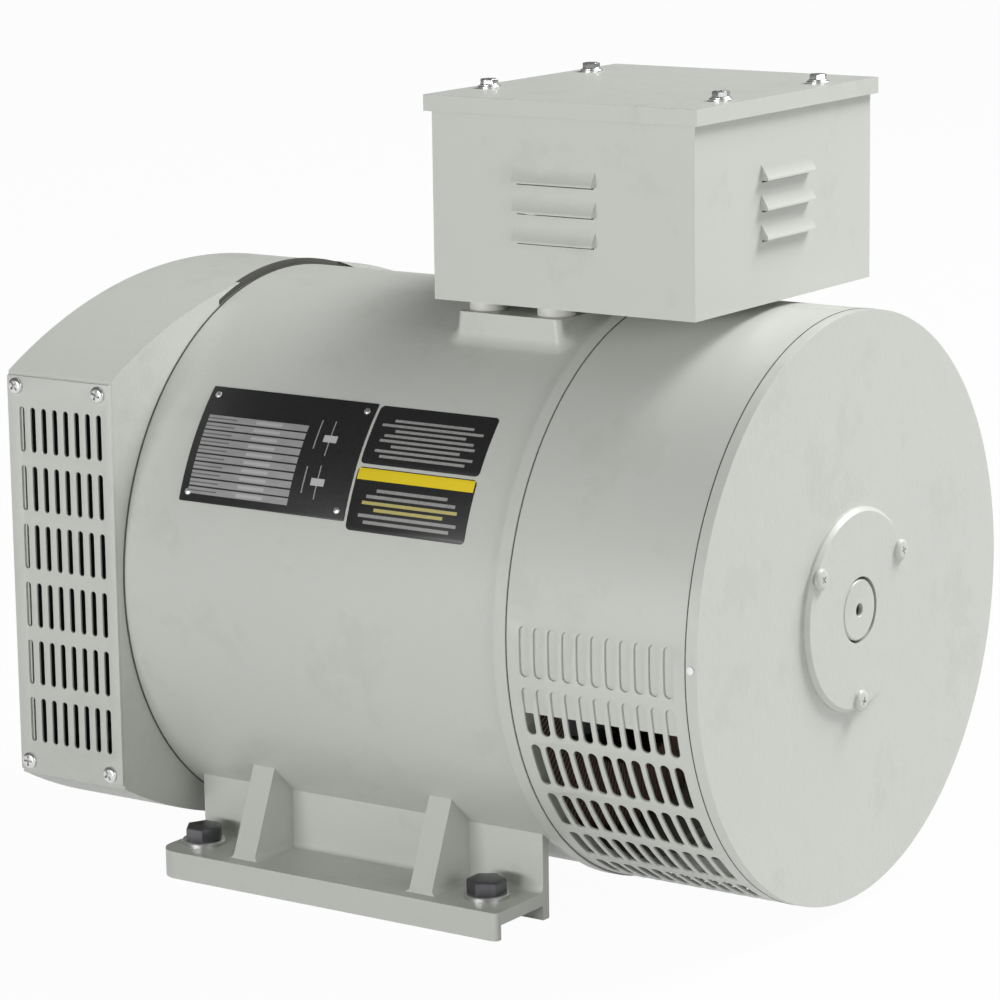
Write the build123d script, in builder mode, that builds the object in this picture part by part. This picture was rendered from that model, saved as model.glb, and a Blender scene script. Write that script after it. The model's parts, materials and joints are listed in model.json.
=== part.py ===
"""Two-bearing brush alternator head: stator frame, drive and rear brackets, rotor and terminal box.

X runs along the shaft from the drive end (-X) to the rear, +Z is up and z = 0 is the foot plane.
The origin lies under the shaft axis, at the centre of the four foot bolts.
"""
from build123d import *
from math import asin, cos, degrees, pi, radians, sin, sqrt
import os

os.makedirs("parts", exist_ok=True)

# ---- driving sizes (mm) --------------------------------------------------------------
shaft_height = 160.0        # shaft axis above the foot plane
running_gap = 0.05          # radial clearance of turning and sliding fits
loose_gap = 0.4             # clearance between parts that must never touch
bolt_gap = 0.3              # radial clearance of a through hole
sheet = 1.5                 # thickness of the pressed sheet parts

# stator frame
frame_start = -116.5        # drive end of the barrel
frame_end = 129.5           # rear end of the barrel
frame_radius = 151.5
frame_wall = 9.0
tapped_radius = 3.0         # bracket bolts and their tapped holes
tapped_depth = 16.0
tapped_spare = 2.0          # tapped hole left below a bolt
bracket_head = 4.0          # bracket bolt heads
bracket_flats = 9.0
drive_bolt_inset = 4.5      # bolt circles, measured out from the barrel's bore
rear_bolt_inset = 3.6
drive_bolt_angles = (45, 135, 225, 315)
rear_bolt_angles = (25, 75, 105, 155)
near_angle = 180.0          # the near side's horizontal, in degrees from +Y towards +Z
collar_radius = 154.4       # raised lip at the rear end of the barrel
collar_width = 6.8

# feet
foot_bolt_x = 92.5          # half the bolt spacing along the shaft
foot_bolt_y = 120.0         # half the bolt spacing across the shaft
foot_start = -107.5         # drive end of the feet
foot_end = 114.0            # rear end of the feet
foot_corner = 13.0          # rounding of the outer drive-end corners
foot_fillet = 3.0
foot_outer = 143.0          # outer edge of the feet from the centre plane
foot_top = 14.8             # top of the foot plate
foot_plate = 7.0            # plate thickness
foot_lip = 4.5              # thickness of the outer lip
web_outer = 100.0           # outer face of the upright web
web_thick = 5.5
gusset_places = (-54.0, 61.0)
gusset_setback = 8.0        # the gussets stop this far inside the foot's outer edge
gusset_thick = 14.0
gusset_angle = 40.5         # where a gusset's edge meets the barrel, below the horizontal
foot_bolt_radius = 6.0      # threaded end below the foot plate
foot_shank_radius = 5.3     # reduced shank inside the foot plate
foot_head_flats = 18.0
foot_head_height = 7.5
foot_washer_radius = 12.0
foot_washer_thick = 2.5

# drive-end bracket
hood_depth = 71.0
hood_half_width = 156.2     # flat casting sides, under the grille sheets
hood_side_height = 110.5    # the flat sides end here, above and below the axis
hood_crown = 151.5          # top of the crown above the axis
hood_wall = 8.0
hood_face = 9.0             # thickness of the drive-end wall
hood_step = 4.0             # the rear opening is this much smaller than the barrel's bore
post_radius = 8.0           # bolt posts inside the hood
post_inset = 2.0
hood_rebate_radius = 155.0  # shadow gap round the top of the barrel
hood_rebate_depth = 4.0
hood_rebate_half_width = 64.0
side_window_height = 96.0   # half height of the side air outlets
side_window_margin = 6.5

# air grilles on the two sides of the drive-end bracket
grille_half_height = 108.5
grille_columns = 8
grille_rows = 6
grille_pitch_x = 7.55
grille_pitch_z = 31.9
grille_slot_width = 3.4
grille_slot_length = 24.4
grille_first_column = 9.6   # from the drive-end edge
grille_screw_inset = 6.6
grille_rear_inset = 8.1
grille_screw_z = 103.0
small_head_radius = 4.4
small_head_height = 2.4
small_screw_radius = 2.0
small_screw_depth = 5.0     # thread in the casting

# rear bracket and its slotted band
rear_face = 240.1           # outer face of the rear disc
rear_rim = 6.3              # visible width of the disc's rim
rear_radius = 153.5
rear_wall = 8.0
rear_disc = 8.0             # disc thickness
rear_boss_radius = 53.0
rear_boss_height = 3.6
rear_boss_bevel = 2.0
rear_shaft_hole = 17.3
rear_window_angle = 13.5    # casting windows start this far below the horizontal
rear_window_margin = 6.5
pocket_half_angle = 4.0     # pockets for the bracket bolt heads
pocket_length = 14.0
rear_rib = 12.0             # rib between the two casting windows
band_columns = 11
band_rows = 16
band_pitch_x = 8.4
band_pitch_angle = 11.85
band_slot_width = 5.5
band_slot_angle = 9.7
band_first_column = 10.3    # from the band's front edge
band_screw_radius = 2.0
band_screw_length = 8.0
band_screw_proud = 0.6      # screw head above the rim

# shaft and bearings
extension_length = 80.0
extension_radius = 19.0
keyway_width = 10.0
keyway_depth = 5.0
keyway_length = 32.0
keyway_inset = 5.0          # from the shaft end
drive_seat_radius = 22.5
drive_bearing_radius = 50.0
drive_bearing_width = 25.0
rear_seat_radius = 15.0
slip_seat_radius = 20.0     # shaft under the slip rings
drive_chamfer = 1.5
rear_chamfer = 1.0
rear_bearing_radius = 36.0
rear_bearing_width = 19.0
shaft_body_radius = 27.0
shaft_end_gap = 1.0         # shaft end lies this far inside the boss face
centre_hole_radius = 4.0
centre_hole_depth = 10.0
race_lip = 5.0              # overlap of a cap or shoulder on an outer race
shaft_room = 2.0            # radial room round the shaft in the drive-end wall
race_relief = 2.0           # keeps the shoulders off the turning inner races
drive_bearing_wall = 4.0    # wall left in front of the drive bearing
rear_bearing_wall = 6.0     # metal left between the rear bearing and the disc
drive_hub_wall = 13.0
rear_hub_wall = 20.0
cap_thick = 7.0
cap_screw_radius = 3.0
cap_head_radius = 5.6
cap_head_height = 2.6
rear_cap_circle = 47.6      # pitch radius of the three cap screws
drive_cap_circle = 56.5

# stator and rotor
core_half_length = 80.0
core_bore = 88.0
air_gap = 0.8
stator_slots = 24
stator_slot_width = 11.0
stator_slot_depth = 24.0
slot_overcut = 5.0          # slots start inside the bore, so that they open into it
wedge_depth = 4.0           # slot closed by a wedge inside the winding
winding_overhang = 30.0
winding_outer = 132.0
winding_inner = 96.0
pole_neck_half = 24.0
pole_shoe_thick = 12.0
neck_overlap = 4.0          # necks run this far into their shoes
pole_shoe_angle = 62.0
rotor_yoke_radius = 46.0
field_coil_overhang = 14.0
field_coil_thick = 13.0
fan_start = -150.0
fan_end = -121.0
fan_radius = 118.0
fan_plate = 4.0
fan_hub_radius = 38.0
fan_blades = 11
fan_blade_thick = 4.0
fan_blade_inner = 62.0

# slip rings and brush gear
ring_centres = (154.0, 176.0)
ring_width = 12.0
ring_radius = 38.0
ring_thick = 5.0
brush_x = 9.0
brush_y = 14.0
brush_height = 22.0
brush_lift = 0.3            # clear of the ring's curved face
holder_bottom = 43.0        # above the axis
holder_top = 68.0
holder_half_y = 15.0
spring_radius = 3.4
spring_wire = 1.0
spring_turns = 5
spring_facets = 8           # straight runs in one turn
spring_length = 13.0
brush_arm_thick = 4.0
brush_arm_half_y = 12.0
arm_overhang = 2.0          # past the slip-ring hub
arm_clearance = 2.0         # above the bearing hub

# terminal box
box_centre_x = 121.2
box_half_x = 78.3
box_half_y = 87.2
spacer_height = 8.0         # the box stands this far above the pad
box_height = 105.0          # underside of the box to the top of its lid
lid_lip = 8.4
lid_overhang = 1.6          # clear of the box walls
gasket_thick = 1.0
top_flange = 17.0
lid_screw_x = 69.5
lid_screw_y = 48.0
lid_screw_radius = 2.5
lid_head_flats = 8.0
lid_head_height = 3.6
lid_washer_radius = 6.0
lid_washer_thick = 1.2
louvre_length = 48.0
louvre_height = 8.0
louvre_depth = 4.0
louvre_pitch = 15.0
louvre_rise = 33.0          # lower edge of the lowest louvre above the box's underside
louvre_count = 3
louvre_lip = 1.5            # upright edge of a louvre's mouth
near_louvre_x = 117.5
lead_hole_radius = 24.0
pad_left = 46.0
pad_right = 109.0
pad_half_y = 72.0
pad_rise = 149.0            # pad face above the shaft axis
pad_flare = 8.0
pad_fillet = 9.0            # blend between pad and barrel
pad_corner = 4.0            # rounding of the pad's upright corners
spacer_radius = 10.0
spacer_x = 21.0
spacer_y = 58.0
box_bolt_radius = 4.0
box_bolt_flats = 13.0
box_bolt_head = 5.0
lid_screw_reach = 6.0       # screw end below the box flange
gasket_margin = 8.0
grommet_radius = 16.0
grommet_bore = 10.0
grommet_length = 8.0
grommet_seat = 13.0         # radius of the grommet's neck in the wall
grommet_rise = 33.0         # above the box's underside
board_offset = 18.0         # board centre behind the box centre
board_rise = 12.0           # board above the box floor
board_foot_radius = 4.0
board_foot_inset = 6.0
board_thick = 6.0
board_half_x = 50.0
board_half_y = 30.0
stud_count = 4
stud_pitch = 24.0
stud_radius = 3.0
stud_rise = 22.0
stud_row_y = 10.0
stud_nut_flats = 10.0
stud_nut_height = 5.0
rectifier_half = 14.0
rectifier_depth = 24.0
rectifier_height = 12.0

# plates on the barrel
nameplate_start = -83.3
nameplate_end = 23.6
nameplate_low = 18.7        # degrees above the horizontal
nameplate_high = 43.2
nameplate_thick = 0.8
rivet_radius = 1.8
rivet_height = 1.0
rivet_lift = 0.02           # clear of the curved plate
rivet_inset = 5.0
notice_start = 25.4
notice_end = 98.8
notice_low = 17.2
notice_high = 43.1
notice_gap_angle = 0.7
notice_thick = 0.3

# ---- derived places --------------------------------------------------------------------
axis_point = (0.0, 0.0, shaft_height)
shaft_axis = Axis(axis_point, (1, 0, 0))
frame_bore = frame_radius - frame_wall
hood_start = frame_start - hood_depth
pad_top = shaft_height + pad_rise
box_bottom = pad_top + spacer_height
lid_top = box_bottom + box_height
louvre_first = box_bottom + louvre_rise
grommet_z = box_bottom + grommet_rise
band_end = rear_face - rear_rim
band_inner = rear_radius - sheet
rear_boss_face = rear_face + rear_boss_height
shaft_start = hood_start - extension_length
shaft_end = rear_boss_face - shaft_end_gap
drive_bearing_start = hood_start + drive_bearing_wall
drive_bearing_end = drive_bearing_start + drive_bearing_width
rear_bearing_end = rear_face - rear_disc - rear_bearing_wall
rear_bearing_start = rear_bearing_end - rear_bearing_width
rear_hub_radius = rear_bearing_radius + rear_hub_wall
rear_race_lip = rear_bearing_radius - race_lip
drive_race_lip = drive_bearing_radius - race_lip
drive_hub_radius = drive_bearing_radius + drive_hub_wall


def across(x):
    """Plane square to the shaft at x: local x is +Y, local y is up from the axis."""
    return Plane(origin=(x, 0, shaft_height), x_dir=(0, 1, 0), z_dir=(1, 0, 0))


def ring(start, end, outer, inner=0.0, mode=Mode.ADD):
    """A round bar or tube about the shaft axis from start to end."""
    with BuildSketch(across(start)) as profile:
        Circle(outer)
        if inner > 0:
            Circle(inner, mode=Mode.SUBTRACT)
    extrude(profile.sketch, amount=end - start, mode=mode)


def bars(start, end, radius, places, mode=Mode.ADD):
    """Round bars along X at (y, height above axis) places."""
    with BuildSketch(across(start)) as profile:
        with Locations(*places):
            Circle(radius)
    extrude(profile.sketch, amount=end - start, mode=mode)


def on_circle(radius, angles):
    """Places on a circle about the axis; angles in degrees from +Y towards +Z."""
    return [(radius * cos(radians(a)), radius * sin(radians(a))) for a in angles]


def hex_heads(start, end, flats, places, mode=Mode.ADD):
    """Hexagon heads along X."""
    with BuildSketch(across(start)) as profile:
        with Locations(*places):
            RegularPolygon(flats / 2, 6, major_radius=False)
    extrude(profile.sketch, amount=end - start, mode=mode)


def sector(start, end, outer, inner, low, high, mode=Mode.ADD):
    """Part of a tube between two angles, from +Y towards +Z."""
    reach = outer * 1.6
    middle = (low + high) / 2
    corners = [(0, 0)] + on_circle(reach, [low, middle, high])
    with BuildSketch(across(start)) as profile:
        Circle(outer)
        Circle(inner, mode=Mode.SUBTRACT)
        with BuildLine():
            Polyline(*corners, close=True)
        make_face(mode=Mode.INTERSECT)
    extrude(profile.sketch, amount=end - start, mode=mode)


def block(low, high, mode=Mode.ADD):
    """Box between two corners."""
    size = [b - a for a, b in zip(low, high)]
    middle = [(a + b) / 2 for a, b in zip(low, high)]
    with Locations(tuple(middle)):
        Box(*size, mode=mode)


def posts(z, height, radius, places, mode=Mode.ADD):
    """Upright round posts standing on z."""
    with BuildSketch(Plane.XY.offset(z)) as profile:
        with Locations(*places):
            Circle(radius)
    extrude(profile.sketch, amount=height, mode=mode)


def straight(part, test):
    """Straight edges of a part whose bounding box and centre pass a test."""
    return part.edges().filter_by(GeomType.LINE).filter_by(lambda e: test(e.bounding_box(), e.center()))


def on_sides(y, half):
    """Whether y lies on either of two faces at a distance half from the centre plane."""
    return abs(abs(y) - half) < 0.01


def finish(part, name):
    """Label a finished piece and write it."""
    part.part.label = name
    export_step(part.part, f"parts/{name}.step")


# ---- stator frame: barrel, rear collar, box pad and feet -----------------------------------
rear_bolt_places = on_circle(frame_bore + rear_bolt_inset, rear_bolt_angles)
drive_bolt_places = on_circle(frame_bore + drive_bolt_inset, drive_bolt_angles)
foot_bolt_places = [(x, y) for x in (-foot_bolt_x, foot_bolt_x) for y in (-foot_bolt_y, foot_bolt_y)]
pad_centre_x = (pad_left + pad_right) / 2
box_bolt_places = [(pad_centre_x + sx * spacer_x, sy * spacer_y) for sx in (-1, 1) for sy in (-1, 1)]
web_inner = web_outer - web_thick
gusset_top = on_circle(frame_radius, [-gusset_angle])[0]
gusset_foot = foot_outer - gusset_setback


def on_foot(box):
    """Whether an edge lies flat on top of a foot plate."""
    return abs(box.min.Z - foot_top) < 0.01 and box.size.Z < 0.01


def beside_gusset(box):
    """Whether an edge runs along the base of a gusset's flank."""
    flanks = [x + side * gusset_thick / 2 for x in gusset_places for side in (-1, 1)]
    return box.size.X < 0.01 and any(abs(box.min.X - x) < 0.01 for x in flanks)


with BuildPart() as stator_frame:
    ring(frame_start, frame_end, frame_radius)
    ring(frame_end - collar_width, frame_end, collar_radius)
    for side in (-1, 1):
        y_in, y_out = sorted((side * web_inner, side * web_outer))
        block((foot_start, y_in, 0), (foot_end, y_out, shaft_height))
        y_in, y_out = sorted((side * web_inner, side * foot_outer))
        block((foot_start, y_in, foot_top - foot_plate), (foot_end, y_out, foot_top))
        y_in, y_out = sorted((side * (foot_outer - foot_lip), side * foot_outer))
        block((foot_start, y_in, 0), (foot_end, y_out, foot_top))
        for x in gusset_places:
            with BuildSketch(across(x - gusset_thick / 2)):
                with BuildLine():
                    Polyline(
                        (side * gusset_top[0], gusset_top[1]),
                        (side * gusset_foot, foot_top - shaft_height),
                        (side * web_inner, foot_top - shaft_height),
                        (side * web_inner, -web_outer),
                        close=True,
                    )
                make_face()
            extrude(amount=gusset_thick)
    with BuildSketch(Plane.XZ.offset(-pad_half_y)):
        with BuildLine():
            Polyline(
                (pad_left, pad_top),
                (pad_right, pad_top),
                (pad_right + pad_flare, shaft_height + core_bore),
                (pad_left - pad_flare, shaft_height + core_bore),
                close=True,
            )
        make_face()
    extrude(amount=2 * pad_half_y)
    above_core = shaft_height + core_bore
    fillet(
        straight(stator_frame, lambda b, c: b.min.Z > above_core and b.size.Z > pad_fillet),
        radius=pad_corner,
    )
    above_barrel = lambda b: above_core < b.min.Z and b.max.Z < pad_top - pad_corner
    pad_base = lambda b, c: above_barrel(b) and on_sides(c.Y, pad_half_y)
    fillet(straight(stator_frame, pad_base), radius=pad_fillet)
    outer_corner = lambda b, c: on_sides(c.Y, foot_outer) and b.size.Z > foot_lip
    drive_corner = lambda b, c: outer_corner(b, c) and c.X < 0
    fillet(straight(stator_frame, drive_corner), radius=foot_corner)
    rear_corner = lambda b, c: outer_corner(b, c) and c.X > foot_end - foot_fillet
    fillet(straight(stator_frame, rear_corner), radius=foot_fillet)
    inner_corner = lambda b, c: on_foot(b) and (on_sides(c.Y, web_outer) or beside_gusset(b))
    fillet(straight(stator_frame, inner_corner), radius=foot_fillet)
    ring(frame_start, frame_end, frame_bore, mode=Mode.SUBTRACT)
    posts(shaft_height + core_bore, pad_top, lead_hole_radius, [(pad_centre_x, 0)], Mode.SUBTRACT)
    posts(0, foot_top, foot_bolt_radius + bolt_gap, foot_bolt_places, Mode.SUBTRACT)
    posts(pad_top - tapped_depth, tapped_depth, box_bolt_radius, box_bolt_places, Mode.SUBTRACT)
    bars(frame_start, frame_start + tapped_depth, tapped_radius, drive_bolt_places, Mode.SUBTRACT)
    bars(frame_end - tapped_depth, frame_end, tapped_radius, rear_bolt_places, Mode.SUBTRACT)
finish(stator_frame, "stator_frame")

# ---- stator core and winding -----------------------------------------------------------------
slot_mouth = core_bore - slot_overcut
slot_bottom = core_bore + stator_slot_depth

with BuildPart() as stator_core:
    ring(-core_half_length, core_half_length, frame_bore, core_bore)
    with BuildSketch(across(-core_half_length)):
        with PolarLocations((slot_mouth + slot_bottom) / 2, stator_slots):
            Rectangle(slot_bottom - slot_mouth, stator_slot_width)
    extrude(amount=2 * core_half_length, mode=Mode.SUBTRACT)
finish(stator_core, "stator_core")

with BuildPart() as stator_winding:
    for start in (-core_half_length - winding_overhang, core_half_length):
        ring(start, start + winding_overhang, winding_outer, winding_inner)
    with BuildSketch(across(-core_half_length)):
        with PolarLocations((core_bore + wedge_depth + slot_bottom) / 2, stator_slots):
            Rectangle(slot_bottom - core_bore - wedge_depth, stator_slot_width)
    extrude(amount=2 * core_half_length)
finish(stator_winding, "stator_winding")

# ---- drive-end bracket: boxy hood with a bearing hub and side air outlets --------------------


def hood_outline(shrink=0.0):
    """Flat upright sides joined by shallow crowns above and below."""
    width = hood_half_width - shrink
    side = hood_side_height - shrink * 0.3
    crown = hood_crown - shrink
    with BuildLine() as outline:
        Line((width, -side), (width, side))
        ThreePointArc((width, side), (0, crown), (-width, side))
        Line((-width, side), (-width, -side))
        ThreePointArc((-width, -side), (0, -crown), (width, -side))
    make_face(outline.edges())


drive_cap_places = on_circle(drive_cap_circle, (90, 210, 330))
grille_screw_places = [
    (x, z)
    for x in (hood_start + grille_screw_inset, frame_start - grille_rear_inset)
    for z in (-grille_screw_z, grille_screw_z)
]

with BuildPart() as drive_end_bracket:
    with BuildSketch(across(hood_start)):
        hood_outline()
    extrude(amount=hood_depth)
    with BuildSketch(across(hood_start + hood_face)):
        hood_outline(hood_wall)
    extrude(amount=hood_depth - 2 * hood_face, mode=Mode.SUBTRACT)
    ring(frame_start - hood_face, frame_start, frame_bore - hood_step, mode=Mode.SUBTRACT)
    post_places = on_circle(frame_bore + post_inset, drive_bolt_angles)
    bars(hood_start + hood_face, frame_start, post_radius, post_places)
    ring(hood_start + hood_face, drive_bearing_end, drive_hub_radius)
    block(
        (hood_start + hood_face, -hood_half_width - 1, shaft_height - side_window_height),
        (frame_start - side_window_margin, hood_half_width + 1, shaft_height + side_window_height),
        Mode.SUBTRACT,
    )
    ring(hood_start, drive_bearing_end, drive_hub_radius)
    ring(drive_bearing_start, drive_bearing_end, drive_bearing_radius, mode=Mode.SUBTRACT)
    ring(drive_bearing_start - race_relief, drive_bearing_start, drive_race_lip, mode=Mode.SUBTRACT)
    ring(hood_start, drive_bearing_start, drive_seat_radius + shaft_room, mode=Mode.SUBTRACT)
    bars(hood_start, drive_bearing_end, cap_screw_radius, drive_cap_places, Mode.SUBTRACT)
    bars(hood_start, frame_start, tapped_radius, drive_bolt_places, Mode.SUBTRACT)
    with BuildSketch(across(frame_start - hood_rebate_depth)):
        Circle(hood_rebate_radius)
        Circle(frame_radius, mode=Mode.SUBTRACT)
        with Locations((0, hood_crown)):
            Rectangle(2 * hood_rebate_half_width, hood_crown, mode=Mode.INTERSECT)
    extrude(amount=hood_rebate_depth, mode=Mode.SUBTRACT)
    for side in (-1, 1):
        with BuildSketch(Plane.XZ.offset(side * hood_half_width)):
            with Locations(*[(x, shaft_height + z) for x, z in grille_screw_places]):
                Circle(small_screw_radius)
        extrude(amount=-side * (small_screw_depth + 1), mode=Mode.SUBTRACT)
finish(drive_end_bracket, "drive_end_bracket")

for side, name in ((-1, "near_grille"), (1, "far_grille")):
    with BuildPart() as grille:
        with BuildSketch(Plane.XZ.offset(-side * hood_half_width)):
            with Locations(((hood_start + frame_start) / 2, shaft_height)):
                Rectangle(hood_depth, 2 * grille_half_height)
            first = hood_start + grille_first_column
            middle = first + (grille_columns - 1) * grille_pitch_x / 2
            with Locations((middle, shaft_height)):
                with GridLocations(grille_pitch_x, grille_pitch_z, grille_columns, grille_rows):
                    Rectangle(grille_slot_width, grille_slot_length, mode=Mode.SUBTRACT)
            with Locations(*[(x, shaft_height + z) for x, z in grille_screw_places]):
                Circle(small_screw_radius, mode=Mode.SUBTRACT)
        extrude(amount=-side * sheet)
    finish(grille, name)

with BuildPart() as grille_screws:
    for side in (-1, 1):
        with BuildSketch(Plane.XZ.offset(-side * (hood_half_width + sheet))):
            with Locations(*[(x, shaft_height + z) for x, z in grille_screw_places]):
                Circle(small_head_radius)
        extrude(amount=-side * small_head_height)
        with BuildSketch(Plane.XZ.offset(-side * (hood_half_width - small_screw_depth))):
            with Locations(*[(x, shaft_height + z) for x, z in grille_screw_places]):
                Circle(small_screw_radius)
        extrude(amount=-side * (small_screw_depth + sheet))
finish(grille_screws, "grille_screws")

with BuildPart() as drive_bracket_bolts:
    hex_heads(hood_start - bracket_head, hood_start, bracket_flats, drive_bolt_places)
    bars(hood_start, frame_start + tapped_depth - tapped_spare, tapped_radius, drive_bolt_places)
finish(drive_bracket_bolts, "drive_bracket_bolts")


# ---- bearings --------------------------------------------------------------------------------
def bearing(prefix, start, end, bore, outside, balls):
    """Outer race, inner race and caged balls of a deep-groove ball bearing."""
    race = (outside - bore) * 0.22
    pitch = (outside + bore) / 2
    ball = (outside - bore) / 2 - race - running_gap
    middle = (start + end) / 2
    with BuildPart() as outer_race:
        ring(start, end, outside, outside - race)
    finish(outer_race, prefix + "_outer_race")
    with BuildPart() as inner_race:
        ring(start, end, bore + race, bore)
    finish(inner_race, prefix + "_inner_race")
    with BuildPart() as ball_cage:
        ring(middle - 2, middle + 2, pitch + ball * 0.4, pitch - ball * 0.4)
        for y, z in on_circle(pitch, [i * 360 / balls for i in range(balls)]):
            with Locations((middle, y, shaft_height + z)):
                Sphere(ball)
    finish(ball_cage, prefix + "_ball_cage")


bearing("drive_bearing", drive_bearing_start, drive_bearing_end, drive_seat_radius, drive_bearing_radius, 9)
bearing("rear_bearing", rear_bearing_start, rear_bearing_end, rear_seat_radius, rear_bearing_radius, 8)

with BuildPart() as drive_bearing_cap:
    ring(drive_bearing_end, drive_bearing_end + cap_thick, drive_hub_radius, drive_race_lip)
    bars(drive_bearing_end, drive_bearing_end + cap_thick, cap_screw_radius, drive_cap_places, Mode.SUBTRACT)
finish(drive_bearing_cap, "drive_bearing_cap")

with BuildPart() as drive_cap_screws:
    bars(hood_start - cap_head_height, hood_start, cap_head_radius, drive_cap_places)
    bars(hood_start, drive_bearing_end + cap_thick, cap_screw_radius, drive_cap_places)
finish(drive_cap_screws, "drive_cap_screws")

# ---- rear bracket: drum casting with a flat disc, boss and lower air windows -----------------
rear_cap_places = on_circle(rear_cap_circle, (30, 150, 270))
window_start = frame_end + rear_window_margin
window_end = band_end - rear_window_margin
skirt_radius = band_inner
skirt_inner = skirt_radius - rear_wall
rib_half_angle = degrees(asin(rear_rib / 2 / skirt_radius))

with BuildPart() as rear_end_bracket:
    ring(frame_end, band_end, skirt_radius, skirt_inner)
    ring(rear_face - rear_disc, rear_face, rear_radius)
    ring(rear_face - rear_disc, band_end, rear_radius + 1, skirt_radius, Mode.SUBTRACT)
    ring(rear_face, rear_boss_face, rear_boss_radius)
    chamfer(rear_end_bracket.edges().group_by(Axis.X)[-1], length=rear_boss_bevel)
    ring(rear_bearing_start, rear_face, rear_hub_radius)
    ring(rear_bearing_start, rear_bearing_end, rear_bearing_radius, mode=Mode.SUBTRACT)
    ring(rear_bearing_end, rear_bearing_end + race_relief, rear_race_lip, mode=Mode.SUBTRACT)
    ring(rear_bearing_start, rear_boss_face, rear_shaft_hole, mode=Mode.SUBTRACT)
    bars(rear_bearing_start, rear_boss_face, cap_screw_radius, rear_cap_places, Mode.SUBTRACT)
    for low, high in (
        (rear_window_angle - 180, -90 - rib_half_angle),
        (-90 + rib_half_angle, -rear_window_angle),
    ):
        sector(window_start, window_end, rear_radius, skirt_inner - 1, low, high, Mode.SUBTRACT)
    for angle in rear_bolt_angles:
        low, high = angle - pocket_half_angle, angle + pocket_half_angle
        pocket_end = window_start + pocket_length
        sector(window_start, pocket_end, rear_radius, skirt_inner - 1, low, high, Mode.SUBTRACT)
    bars(frame_end, window_start, tapped_radius, rear_bolt_places, Mode.SUBTRACT)
    for side in (-1, 1):
        with BuildSketch(Plane.XZ.offset(side * (rear_radius + 1))):
            with Locations((rear_face - rear_rim / 2, shaft_height)):
                Circle(band_screw_radius)
        extrude(amount=-side * (band_screw_length + 1), mode=Mode.SUBTRACT)
finish(rear_end_bracket, "rear_end_bracket")

with BuildPart() as slotted_band:
    ring(frame_end, band_end, rear_radius, band_inner)
    first_angle = -90 - (band_rows - 1) * band_pitch_angle / 2
    for row in range(band_rows):
        middle_angle = first_angle + row * band_pitch_angle
        facing = Plane(
            origin=axis_point,
            x_dir=(1, 0, 0),
            z_dir=(0, cos(radians(middle_angle)), sin(radians(middle_angle))),
        )
        slot_length = 2 * rear_radius * sin(radians(band_slot_angle / 2))
        with BuildSketch(facing.offset(band_inner - 2 * sheet)):
            for column in range(band_columns):
                with Locations((frame_end + band_first_column + column * band_pitch_x, 0)):
                    Rectangle(band_slot_width, slot_length)
        extrude(amount=4 * sheet, mode=Mode.SUBTRACT)
finish(slotted_band, "slotted_band")

with BuildPart() as band_screws:
    for side in (-1, 1):
        with BuildSketch(Plane.XZ.offset(-side * (rear_radius - band_screw_length + band_screw_proud))):
            with Locations((rear_face - rear_rim / 2, shaft_height)):
                Circle(band_screw_radius)
        extrude(amount=-side * band_screw_length)
finish(band_screws, "band_screws")

with BuildPart() as rear_bracket_bolts:
    hex_heads(window_start, window_start + bracket_head, bracket_flats, rear_bolt_places)
    bars(frame_end - tapped_depth + tapped_spare, window_start, tapped_radius, rear_bolt_places)
finish(rear_bracket_bolts, "rear_bracket_bolts")

with BuildPart() as rear_bearing_cap:
    ring(rear_bearing_start - cap_thick, rear_bearing_start, rear_hub_radius, rear_race_lip)
    cap_start = rear_bearing_start - cap_thick
    bars(cap_start, rear_bearing_start, cap_screw_radius, rear_cap_places, Mode.SUBTRACT)
finish(rear_bearing_cap, "rear_bearing_cap")

with BuildPart() as rear_cap_screws:
    bars(rear_boss_face, rear_boss_face + cap_head_height, cap_head_radius, rear_cap_places)
    bars(rear_bearing_start - cap_thick, rear_boss_face, cap_screw_radius, rear_cap_places)
finish(rear_cap_screws, "rear_cap_screws")

# ---- rotor: shaft, poles, field coils, fan and slip rings ------------------------------------
slip_hub_start = ring_centres[0] - ring_width
slip_hub_end = ring_centres[-1] + ring_width

with BuildPart() as shaft:
    ring(shaft_start, drive_bearing_start, extension_radius)
    ring(drive_bearing_start, drive_bearing_end, drive_seat_radius)
    ring(drive_bearing_end, slip_hub_start, shaft_body_radius)
    ring(slip_hub_start, rear_bearing_start, slip_seat_radius)
    ring(rear_bearing_start, shaft_end, rear_seat_radius)
    chamfer(shaft.edges().group_by(Axis.X)[0], length=drive_chamfer)
    chamfer(shaft.edges().group_by(Axis.X)[-1], length=rear_chamfer)
    with BuildSketch(Plane.XY.offset(shaft_height + extension_radius - keyway_depth)):
        with Locations((shaft_start + keyway_inset + keyway_length / 2, 0)):
            SlotOverall(keyway_length, keyway_width)
    extrude(amount=keyway_depth * 2, mode=Mode.SUBTRACT)
    ring(shaft_end - centre_hole_depth, shaft_end, centre_hole_radius, mode=Mode.SUBTRACT)
    ring(shaft_start, shaft_start + centre_hole_depth, centre_hole_radius, mode=Mode.SUBTRACT)
finish(shaft, "shaft")

pole_radius = core_bore - air_gap
shoe_inner = pole_radius - pole_shoe_thick

with BuildPart() as rotor_core:
    with BuildSketch(across(-core_half_length)):
        Circle(rotor_yoke_radius)
        Rectangle(2 * pole_neck_half, 2 * (shoe_inner + neck_overlap))
        Rectangle(2 * (shoe_inner + neck_overlap), 2 * pole_neck_half)
    extrude(amount=2 * core_half_length)
    for pole in (0, 90, 180, 270):
        half = pole_shoe_angle / 2
        sector(-core_half_length, core_half_length, pole_radius, shoe_inner, pole - half, pole + half)
    ring(-core_half_length, core_half_length, shaft_body_radius, mode=Mode.SUBTRACT)
finish(rotor_core, "rotor_core")

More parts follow.
